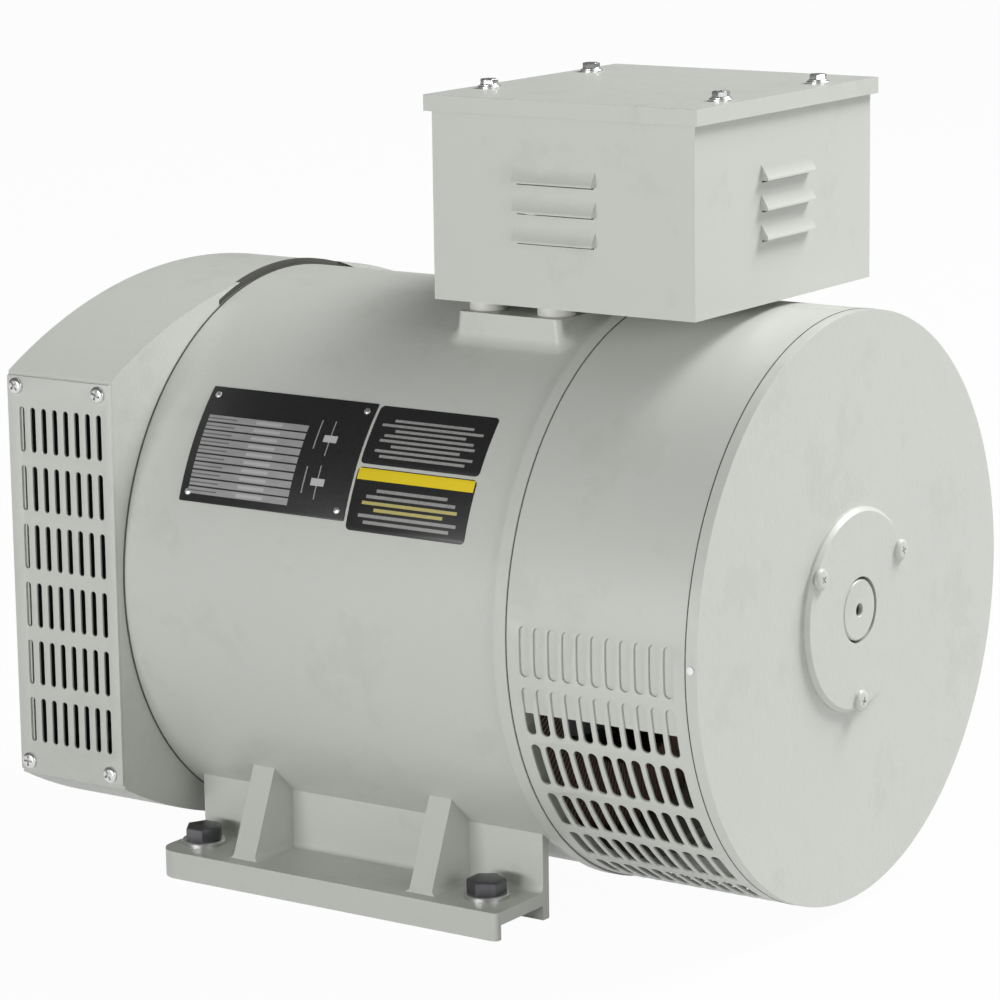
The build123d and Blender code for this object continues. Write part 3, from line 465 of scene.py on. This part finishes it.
def lathe(profile, segments=32):
    """Closed turned form from (radius, height) points about +Z."""
    bm = bmesh.new()
    verts = [bm.verts.new((r, 0, h)) for r, h in profile]
    for a, b in zip(verts, verts[1:]):
        bm.edges.new((a, b))
    bmesh.ops.spin(
        bm,
        geom=bm.verts[:] + bm.edges[:],
        cent=(0, 0, 0),
        axis=(0, 0, 1),
        angle=2 * pi,
        steps=segments,
        use_merge=True,
    )
    bmesh.ops.remove_doubles(bm, verts=bm.verts, dist=0.001 * MM)
    bmesh.ops.recalc_face_normals(bm, faces=bm.faces)
    return bm


def hexagon(flats, low, high, bevel):
    """Hexagon prism with softened edges."""
    bm = bmesh.new()
    radius = flats / sqrt(3)
    bmesh.ops.create_cone(bm, cap_ends=True, segments=6, radius1=radius, radius2=radius, depth=high - low)
    bmesh.ops.translate(bm, verts=bm.verts, vec=(0, 0, (high + low) / 2))
    top = [e for e in bm.edges if all(v.co.z > high - 1e-7 for v in e.verts)]
    bmesh.ops.bevel(
        bm, geom=top, offset=bevel, affect="EDGES", segments=3, profile=0.5, material=-1, clamp_overlap=True
    )
    return bm


def copies(bm, places):
    """One mesh holding a copy of bm at each matrix."""
    out = bmesh.new()
    one = mesh_of(bm, "one")
    for place in places:
        start = len(out.verts)
        out.from_mesh(one)
        out.verts.ensure_lookup_table()
        bmesh.ops.transform(out, matrix=place, verts=out.verts[start:])
    bpy.data.meshes.remove(one)
    return out


def add_to(bm, other):
    """Put another mesh into bm."""
    one = mesh_of(other, "other")
    bm.from_mesh(one)
    bpy.data.meshes.remove(one)
    return bm


def cut_by(bm, cutter):
    """bm with cutter taken away."""
    body = bpy.data.objects.new("body", mesh_of(bm, "body"))
    tool = bpy.data.objects.new("tool", mesh_of(cutter, "tool"))
    for made in (body, tool):
        bpy.context.scene.collection.objects.link(made)
    cut = body.modifiers.new("cut", "BOOLEAN")
    cut.operation = "DIFFERENCE"
    cut.solver = "EXACT"
    cut.object = tool
    graph = bpy.context.evaluated_depsgraph_get()
    result = bpy.data.meshes.new_from_object(body.evaluated_get(graph))
    out = bmesh.new()
    out.from_mesh(result)
    for made in (body, tool):
        bpy.data.objects.remove(made)
    return out


def rounded(width, height, radius, centre=(0, 0), steps=5):
    """Outline of a rectangle with round corners."""
    points = []
    for quarter, (sx, sy) in enumerate(((1, 1), (-1, 1), (-1, -1), (1, -1))):
        cx = centre[0] + sx * (width / 2 - radius)
        cy = centre[1] + sy * (height / 2 - radius)
        for step in range(steps + 1):
            angle = (quarter + step / steps) * pi / 2
            points.append((cx + radius * cos(angle), cy + radius * sin(angle)))
    return points


def stamped(outlines, thickness, edge):
    """Flat sheet cut from outlines, holes inside the first, with softened edges; lies on z = 0."""
    curve = bpy.data.curves.new("outline", "CURVE")
    curve.dimensions = "2D"
    curve.fill_mode = "BOTH"
    for points in outlines:
        spline = curve.splines.new("POLY")
        spline.points.add(len(points) - 1)
        for point, (x, y) in zip(spline.points, points):
            point.co = (x, y, 0, 1)
        spline.use_cyclic_u = True
    curve.extrude = thickness / 2 - edge
    curve.bevel_depth = edge
    curve.bevel_resolution = 1
    curve.offset = -edge
    made = bpy.data.objects.new("outline", curve)
    bpy.context.scene.collection.objects.link(made)
    graph = bpy.context.evaluated_depsgraph_get()
    mesh = bpy.data.meshes.new_from_object(made.evaluated_get(graph))
    bpy.data.objects.remove(made)
    bm = bmesh.new()
    bm.from_mesh(mesh)
    bmesh.ops.remove_doubles(bm, verts=bm.verts, dist=0.003 * MM)
    bmesh.ops.recalc_face_normals(bm, faces=bm.faces)
    bmesh.ops.translate(bm, verts=bm.verts, vec=(0, 0, thickness / 2))
    return bm


def keep_flat_map(bm, width, height):
    """Store the flat position of each corner, 0 to 1 both ways, as the flat UV map."""
    layer = bm.loops.layers.uv.new("flat")
    for face in bm.faces:
        for loop in face.loops:
            loop[layer].uv = (loop.vert.co.x / width + 0.5, loop.vert.co.y / height + 0.5)


def bend(bm, radius, centre_x, centre_angle, step=radians(2.5)):
    """Roll a flat sheet round the shaft: local x runs along the shaft, y round it, z outwards."""
    low = min(v.co.y for v in bm.verts)
    high = max(v.co.y for v in bm.verts)
    cut = low + step * radius
    while cut < high - 1e-5:
        bmesh.ops.bisect_plane(
            bm,
            geom=bm.verts[:] + bm.edges[:] + bm.faces[:],
            dist=1e-6,
            plane_co=(0, cut, 0),
            plane_no=(0, 1, 0),
        )
        cut += step * radius
    for vert in bm.verts:
        angle = centre_angle + vert.co.y / radius
        reach = radius + vert.co.z
        vert.co = (centre_x + vert.co.x, -reach * cos(angle), SHAFT_HEIGHT + reach * sin(angle))
    bmesh.ops.recalc_face_normals(bm, faces=bm.faces)
    return bm


add_camera()
add_lights()
light_world()

# ---- finishes --------------------------------------------------------------------------
SHEET_PAINT = enamel("sheet_enamel", False)
CAST_PAINT = enamel("cast_enamel", True)
ZINC = plated("bright_zinc", (0.78, 0.78, 0.77), (0.60, 0.60, 0.61), 0.22)
DARK_STEEL = plated("oiled_steel", (0.16, 0.16, 0.17), (0.07, 0.07, 0.075), 0.28, 0.9)
GROUND_STEEL = turned("ground_steel", (0.62, 0.62, 0.63), (0.46, 0.46, 0.47), 0.22)
MACHINED_IRON = turned("machined_iron", (0.36, 0.36, 0.36), (0.27, 0.27, 0.27), 0.36)
LAMINATION = laminated("core_plate", (0.30, 0.30, 0.32), (0.18, 0.18, 0.20))
COPPER = wound("enamelled_copper", (0.17, 0.075, 0.038), (0.04, 0.020, 0.012))
BRASS = turned("turned_brass", (0.78, 0.57, 0.26), (0.62, 0.43, 0.18), 0.24)
RESIN = moulded("phenolic", (0.30, 0.12, 0.05), (0.22, 0.08, 0.035), 0.35)
CAST_ALLOY = plated("cast_alloy", (0.62, 0.63, 0.64), (0.48, 0.48, 0.50), 0.42, 0.9)
NYLON = moulded("pale_nylon", (0.72, 0.72, 0.68), (0.64, 0.64, 0.60), 0.40)
RUBBER = moulded("black_rubber", (0.022, 0.022, 0.022), (0.035, 0.035, 0.035), 0.62)
BLACK_MOULDING = moulded("black_moulding", (0.018, 0.018, 0.018), (0.030, 0.030, 0.030), 0.40)
CARBON = moulded("carbon", (0.050, 0.050, 0.052), (0.085, 0.085, 0.088), 0.45)
RIVET_ALLOY = plated("rivet_alloy", (0.80, 0.80, 0.80), (0.62, 0.62, 0.62), 0.30)
SPRING_STEEL = plated("spring_steel", (0.52, 0.52, 0.54), (0.36, 0.36, 0.38), 0.26)
BEARING_STEEL = turned("bearing_steel", (0.72, 0.72, 0.74), (0.58, 0.58, 0.60), 0.14)

PLAIN_NODES = {
    "stator_core": LAMINATION, "rotor_core": LAMINATION, "field_coils": COPPER, "fan": CAST_ALLOY,
    "slip_ring_hub": RESIN, "slip_rings": BRASS, "brush_holder": RESIN, "brush_arm": ZINC,
    "front_brush": CARBON, "rear_brush": CARBON, "front_brush_spring": SPRING_STEEL,
    "rear_brush_spring": SPRING_STEEL, "drive_bearing_cap": MACHINED_IRON, "rear_bearing_cap": MACHINED_IRON,
    "terminal_board": RESIN, "terminal_studs": BRASS, "rectifier_bridge": BLACK_MOULDING,
    "lid_gasket": RUBBER,
    "box_bolts": ZINC, "band_screws": ZINC, "drive_bracket_bolts": ZINC, "rear_bracket_bolts": ZINC,
    "drive_cap_screws": ZINC,
}
for side in ("drive_bearing", "rear_bearing"):
    for part in ("outer_race", "inner_race", "ball_cage"):
        PLAIN_NODES[f"{side}_{part}"] = BEARING_STEEL
for name, material in PLAIN_NODES.items():
    nodes[name].data.materials.clear()
    nodes[name].data.materials.append(material)

# ---- castings and folded sheet ---------------------------------------------------------
dress("stator_frame", CAST_PAINT, 1.6 * MM, 3)
hood_low, hood_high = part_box("drive_end_bracket")
# Box inside the drive end hood whose enamel is painted near black as shade.
HOOD_SHADE_ROOM = (
    Vector((hood_low.x + 4.5 * MM, hood_low.y + 1.0 * MM, SHAFT_HEIGHT - 108 * MM)),
    Vector((hood_high.x - 2.0 * MM, hood_high.y - 1.0 * MM, SHAFT_HEIGHT + 108 * MM)),
)
dress("drive_end_bracket", enamel("bracket_enamel_painted_shade", True, HOOD_SHADE_ROOM), 1.2 * MM, 3)
dress("rear_end_bracket", CAST_PAINT, 1.2 * MM, 3)
dress("terminal_box", SHEET_PAINT, 0.7 * MM, 3)
dress("terminal_box_lid", SHEET_PAINT, 0.7 * MM, 3)
dress("stator_winding", COPPER, 4.0 * MM, 3)
dress("shaft", GROUND_STEEL, 0.4 * MM, 2)
dress("cable_grommet", RUBBER, 0.8 * MM, 3)
dress("box_spacers", NYLON, 0.5 * MM, 2)

# ---- slotted sheets --------------------------------------------------------------------
GRILLE_SLOT = (3.4 * MM, 24.4 * MM)
GRILLE_PITCH = (7.55 * MM, 31.9 * MM)
GRILLE_COUNT = (8, 6)
GRILLE_FIRST = 9.6 * MM


def slot_grid(count, pitch, slot, centre):
    """Outlines of round-ended slots in rows and columns about a centre."""
    out = []
    for i in range(count[0]):
        for j in range(count[1]):
            at = (
                centre[0] + (i - (count[0] - 1) / 2) * pitch[0],
                centre[1] + (j - (count[1] - 1) / 2) * pitch[1],
            )
            out.append(rounded(slot[0], slot[1], slot[0] / 2 * 0.98, at, 4))
    return out


def make_grille(node, side):
    low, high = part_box(node)
    width, height, thick = high.x - low.x, high.z - low.z, high.y - low.y
    offset = low.x + GRILLE_FIRST + (GRILLE_COUNT[0] - 1) / 2 * GRILLE_PITCH[0] - (low.x + high.x) / 2
    slots = slot_grid(GRILLE_COUNT, GRILLE_PITCH, GRILLE_SLOT, (offset, 0))
    outlines = [rounded(width, height, 0.8 * MM)] + slots
    bm = stamped(outlines, thick, 0.25 * MM)
    wall = high.y if side < 0 else low.y
    stand = Matrix(((1, 0, 0), (0, 0, side), (0, 1, 0))).to_4x4()
    move = Matrix.Translation(((low.x + high.x) / 2, wall, (low.z + high.z) / 2))
    bmesh.ops.transform(bm, matrix=move @ stand, verts=bm.verts)
    bmesh.ops.recalc_face_normals(bm, faces=bm.faces)
    piece(node + "_sheet", mesh_of(bm, node + "_sheet"), SHEET_PAINT, "housing", (node,))


make_grille("near_grille", -1)
make_grille("far_grille", 1)

BAND_COUNT = (11, 16)
BAND_PITCH = (8.4 * MM, radians(11.85))
BAND_SLOT = (5.5 * MM, radians(9.7))
BAND_FIRST = 10.3 * MM
BAND_THICK = 1.5 * MM


def make_band():
    low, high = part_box("slotted_band")
    radius = (high.y - low.y) / 2 - BAND_THICK
    width, length = high.x - low.x, 2 * pi * radius
    offset = BAND_FIRST + (BAND_COUNT[0] - 1) / 2 * BAND_PITCH[0] - width / 2
    pitch = (BAND_PITCH[0], BAND_PITCH[1] * radius)
    slot = (BAND_SLOT[0], BAND_SLOT[1] * radius)
    slots = slot_grid(BAND_COUNT, pitch, slot, (offset, 0))
    bm = stamped([rounded(width, length, 0.05 * MM, steps=1)] + slots, BAND_THICK, 0.3 * MM)
    bend(bm, radius, (low.x + high.x) / 2, -pi / 2)
    bmesh.ops.remove_doubles(bm, verts=bm.verts, dist=0.05 * MM)
    piece(
        "slotted_band_sheet", mesh_of(bm, "slotted_band_sheet"),
        SHEET_PAINT, "housing", ("slotted_band",),
    )


make_band()

# ---- screws and bolts ------------------------------------------------------------------


def solid_centres(node, axis):
    """Centres of a node's separate solids, as low and high corners, sorted; axis is not used."""
    bm = bmesh.new()
    bm.from_mesh(nodes[node].data)
    bmesh.ops.remove_doubles(bm, verts=bm.verts, dist=0.002 * MM)
    left = set(bm.verts)
    centres = []
    while left:
        stack = [left.pop()]
        group = []
        while stack:
            vert = stack.pop()
            group.append(vert.co.copy())
            for edge in vert.link_edges:
                other = edge.other_vert(vert)
                if other in left:
                    left.remove(other)
                    stack.append(other)
        low = Vector([min(c[i] for c in group) for i in range(3)])
        high = Vector([max(c[i] for c in group) for i in range(3)])
        centres.append((low, high))
    bm.free()
    return sorted(centres, key=lambda pair: tuple(round(v, 5) for v in pair[0]))


def outward(direction):
    """Turn that sends +Z to a direction."""
    return Vector(direction).to_track_quat("Z", "Y").to_matrix().to_4x4()


def with_cross(bm, reach, width, depth, top):
    """bm with a cross recess cut into its top."""
    for size in ((reach, width), (width, reach)):
        arm = bmesh.new()
        shape = Matrix.Translation((0, 0, top)) @ Matrix.Diagonal((size[0], size[1], 2 * depth, 1))
        bmesh.ops.create_cube(arm, size=1.0, matrix=shape)
        bm = cut_by(bm, arm)
    return bm


def pan_head(radius, height, cross=1.0):
    """Domed head with a cross recess; stands on z = 0."""
    profile = [(0, 0), (radius, 0)]
    for step in range(7):
        angle = step / 6 * pi / 2
        profile.append((radius * (0.55 + 0.45 * cos(angle)), height * (0.35 + 0.65 * sin(angle))))
    profile.append((0, height))
    reach, width, depth = radius * 1.3 * cross, radius * 0.28 * cross, height * 0.55 * cross
    return with_cross(lathe(profile, 28), reach, width, depth, height)


def make_grille_screws():
    low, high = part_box("grille_screws")
    radius = 4.4 * MM
    height = 2.4 * MM
    places = []
    for a, b in solid_centres("grille_screws", "Y"):
        side = -1 if a.y < 0 else 1
        face = (a.y + height) if side < 0 else (b.y - height)
        twist = Matrix.Rotation(a.x * 37 + a.z * 11, 4, "Z")
        places.append(
            Matrix.Translation(((a.x + b.x) / 2, face, (a.z + b.z) / 2)) @ outward((0, side, 0)) @ twist
        )
    bm = copies(pan_head(radius, height), places)
    piece("grille_pan_screws", mesh_of(bm, "grille_pan_screws"), ZINC, "housing", ("grille_screws",))


def make_cap_screws():
    places = []
    height = 2.6 * MM
    for a, b in solid_centres("rear_cap_screws", "X"):
        places.append(
            Matrix.Translation((b.x - height, (a.y + b.y) / 2, (a.z + b.z) / 2))
            @ outward((1, 0, 0)) @ Matrix.Rotation(a.y * 51, 4, "Z")
        )
    bm = copies(pan_head(5.6 * MM, height, 0.6), places)
    piece(
        "rear_cap_pan_screws", mesh_of(bm, "rear_cap_pan_screws"),
        CAST_PAINT, "housing", ("rear_cap_screws",),
    )


def make_lid_screws():
    places = []
    washers = []
    for a, b in solid_centres("lid_screws", "Z"):
        middle = ((a.x + b.x) / 2, (a.y + b.y) / 2)
        turn = Matrix.Rotation(middle[0] * 40 + middle[1] * 23, 4, "Z")
        places.append(Matrix.Translation((*middle, b.z - 3.6 * MM)) @ turn)
        washers.append(Matrix.Translation((*middle, b.z - 4.8 * MM)))
    head = hexagon(8 * MM, 0, 3.6 * MM, 0.5 * MM)
    head = with_cross(head, 5.2 * MM, 1.2 * MM, 1.4 * MM, 3.6 * MM)
    rim = [(0, -0.2), (5.0, -0.2), (5.0, 0.5), (4.4, 1.0), (0, 1.0)]
    flange = lathe([(r * MM, h * MM) for r, h in rim], 28)
    bm = copies(add_to(head, flange), places)
    piece("lid_hex_screws", mesh_of(bm, "lid_hex_screws"), ZINC, "housing", ("lid_screws",))
    ring = [(2.6, 0), (6.0, 0), (6.0, 0.9), (5.7, 1.2), (2.6, 1.2), (2.6, 0)]
    bm = copies(lathe([(r * MM, h * MM) for r, h in ring], 32), washers)
    piece("lid_plain_washers", mesh_of(bm, "lid_plain_washers"), ZINC, "housing", ("lid_washers",))


def make_foot_bolts():
    heads = []
    rings = []
    for a, b in solid_centres("foot_bolts", "Z"):
        middle = ((a.x + b.x) / 2, (a.y + b.y) / 2)
        turn = Matrix.Rotation(0.3 + middle[0] * 31, 4, "Z")
        heads.append(Matrix.Translation((*middle, b.z - 7.5 * MM)) @ turn)
        rings.append(Matrix.Translation((*middle, b.z - 10.0 * MM)))
    head = hexagon(18 * MM, 0, 7.5 * MM, 1.4 * MM)
    shank = lathe([(0, -17.3 * MM), (6 * MM, -17.3 * MM), (6 * MM, 1 * MM), (0, 1 * MM)], 32)
    bm = copies(add_to(head, shank), heads)
    piece(
        "foot_hex_bolts", mesh_of(bm, "foot_hex_bolts"),
        DARK_STEEL, "housing", ("foot_bolts",),
    )
    ring = [(6.2, 0), (12.0, 0), (12.0, 1.9), (11.5, 2.5), (6.2, 2.5), (6.2, 0)]
    bm = copies(lathe([(r * MM, h * MM) for r, h in ring], 40), rings)
    piece(
        "foot_plain_washers", mesh_of(bm, "foot_plain_washers"),
        ZINC, "housing", ("foot_washers",),
    )


make_grille_screws()
make_cap_screws()
make_lid_screws()
make_foot_bolts()

# ---- plates on the barrel --------------------------------------------------------------


def plate_span(node):
    """Middle and size of a plate along the shaft and round the barrel, and its radius."""
    co = [v.co for v in nodes[node].data.vertices]
    angles = [atan2(c.z - SHAFT_HEIGHT, -c.y) for c in co]
    radii = [sqrt(c.y**2 + (c.z - SHAFT_HEIGHT) ** 2) for c in co]
    low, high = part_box(node)
    return low.x, high.x, min(angles), max(angles), min(radii)


def make_plate(node, corner, thick, rule):
    x0, x1, a0, a1, radius = plate_span(node)
    width, height = x1 - x0, (a1 - a0) * radius
    bm = stamped([rounded(width, height, corner)], thick, 0.08 * MM)
    keep_flat_map(bm, width, height)
    bend(bm, radius, (x0 + x1) / 2, (a0 + a1) / 2)
    material = anodised(node + "_finish", rule)
    piece(node + "_sheet", mesh_of(bm, node + "_sheet"), material, "housing", (node,))
    return x0, x1, a0, a1, radius


x0, x1, a0, a1, barrel = make_plate("nameplate", 0.8 * MM, 0.8 * MM, data_rows)
make_plate("upper_notice", 2.5 * MM, 0.3 * MM, plain_bars(8, False))
make_plate("lower_notice", 2.5 * MM, 0.3 * MM, plain_bars(6, True))

RIVET_INSET = 5 * MM
rivet = lathe([(0, 0), (1.9 * MM, 0), (1.7 * MM, 0.5 * MM), (1.0 * MM, 0.95 * MM), (0, 1.1 * MM)], 20)
spots = []
for x in (x0 + RIVET_INSET, x1 - RIVET_INSET):
    for angle in (a0 + RIVET_INSET / barrel, a1 - RIVET_INSET / barrel):
        out = Vector((0, -cos(angle), sin(angle)))
        foot = out * (barrel + 0.8 * MM) + Vector((x, 0, SHAFT_HEIGHT))
        spots.append(Matrix.Translation(foot) @ outward(out))
bm = copies(rivet, spots)
piece(
    "nameplate_domes", mesh_of(bm, "nameplate_domes"),
    RIVET_ALLOY, "housing", ("nameplate_rivets",),
)

# ---- joint lines, a painted shadow at the hood crown, and the painted shaft end --------
# Dark joint colour; also used for the painted shadow at the hood crown.
SEALANT_AND_SHADE = moulded("joint_sealant_and_painted_shade", (0.055, 0.055, 0.052), (0.11, 0.11, 0.10), 0.55)


def joint_line(name, x, width, inner, outer, low=0.0, high=2 * pi):
    """Dark bead round the shaft axis at x, from low to high measured from +Y."""
    bm = bmesh.new()
    left, right = x - width / 2, x + width / 2
    corners = [(left, inner), (right, inner), (right, outer), (left, outer)]
    verts = [bm.verts.new((along, r * cos(low), SHAFT_HEIGHT + r * sin(low))) for along, r in corners]
    face = bm.faces.new(verts)
    whole = high - low > 6.28
    steps = max(12, round((high - low) / radians(1.5)))
    bmesh.ops.spin(
        bm, geom=[face] + face.edges[:] + face.verts[:], cent=(0, 0, SHAFT_HEIGHT), axis=(1, 0, 0),
        angle=high - low, steps=steps, use_merge=whole,
    )
    bmesh.ops.remove_doubles(bm, verts=bm.verts, dist=0.002 * MM)
    bmesh.ops.recalc_face_normals(bm, faces=bm.faces)
    piece(name, mesh_of(bm, name), SEALANT_AND_SHADE, "housing")


frame_low, frame_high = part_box("stator_frame")
band_low, band_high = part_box("slotted_band")
band_radius = (band_high.y - band_low.y) / 2
joint_line("hood_joint", frame_low.x + 0.3 * MM, 0.9 * MM, barrel - 1 * MM, barrel + 0.45 * MM)
# Painted shadow: a dark crescent bead over the hood's crown, standing in for the shade in the rebate between
# hood and barrel.
joint_line(
    "hood_crown_painted_shadow", frame_low.x - 2.4 * MM, 2.8 * MM, barrel + 0.1 * MM, barrel + 3.2 * MM,
    radians(66), radians(114),
)
joint_line("band_joint", frame_high.x + 0.1 * MM, 0.7 * MM, band_radius - 1 * MM, band_radius + 0.25 * MM)
joint_line("rim_joint", band_high.x, 0.6 * MM, band_radius - 1 * MM, band_radius + 0.12 * MM)

shaft_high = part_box("shaft")[1]
END_OUTER = 15.9      # millimetres, like the ring's heights
END_HOLE = 3.3
ring = [
    (END_HOLE, -2.2), (END_HOLE, -0.3), (3.7, 0.1),
    (15.2, 0.1), (END_OUTER, -0.6), (END_OUTER, -2.2), (END_HOLE, -2.2),
]
bm = lathe([(r * MM, h * MM) for r, h in ring], 64)
place = Matrix.Translation((shaft_high.x + 0.6 * MM, 0, SHAFT_HEIGHT)) @ outward((1, 0, 0))
bmesh.ops.transform(bm, matrix=place, verts=bm.verts)
piece("shaft_end_face", mesh_of(bm, "shaft_end_face"), SHEET_PAINT, "rotor")

# ---- floor -----------------------------------------------------------------------------
bm = bmesh.new()
bmesh.ops.create_grid(bm, x_segments=1, y_segments=1, size=6.0)
floor = bpy.data.objects.new("studio_floor", mesh_of(bm, "studio_floor"))
bpy.context.scene.collection.objects.link(floor)
floor.data.materials.append(floor_finish())

bpy.context.scene.view_settings.view_transform = "Standard"
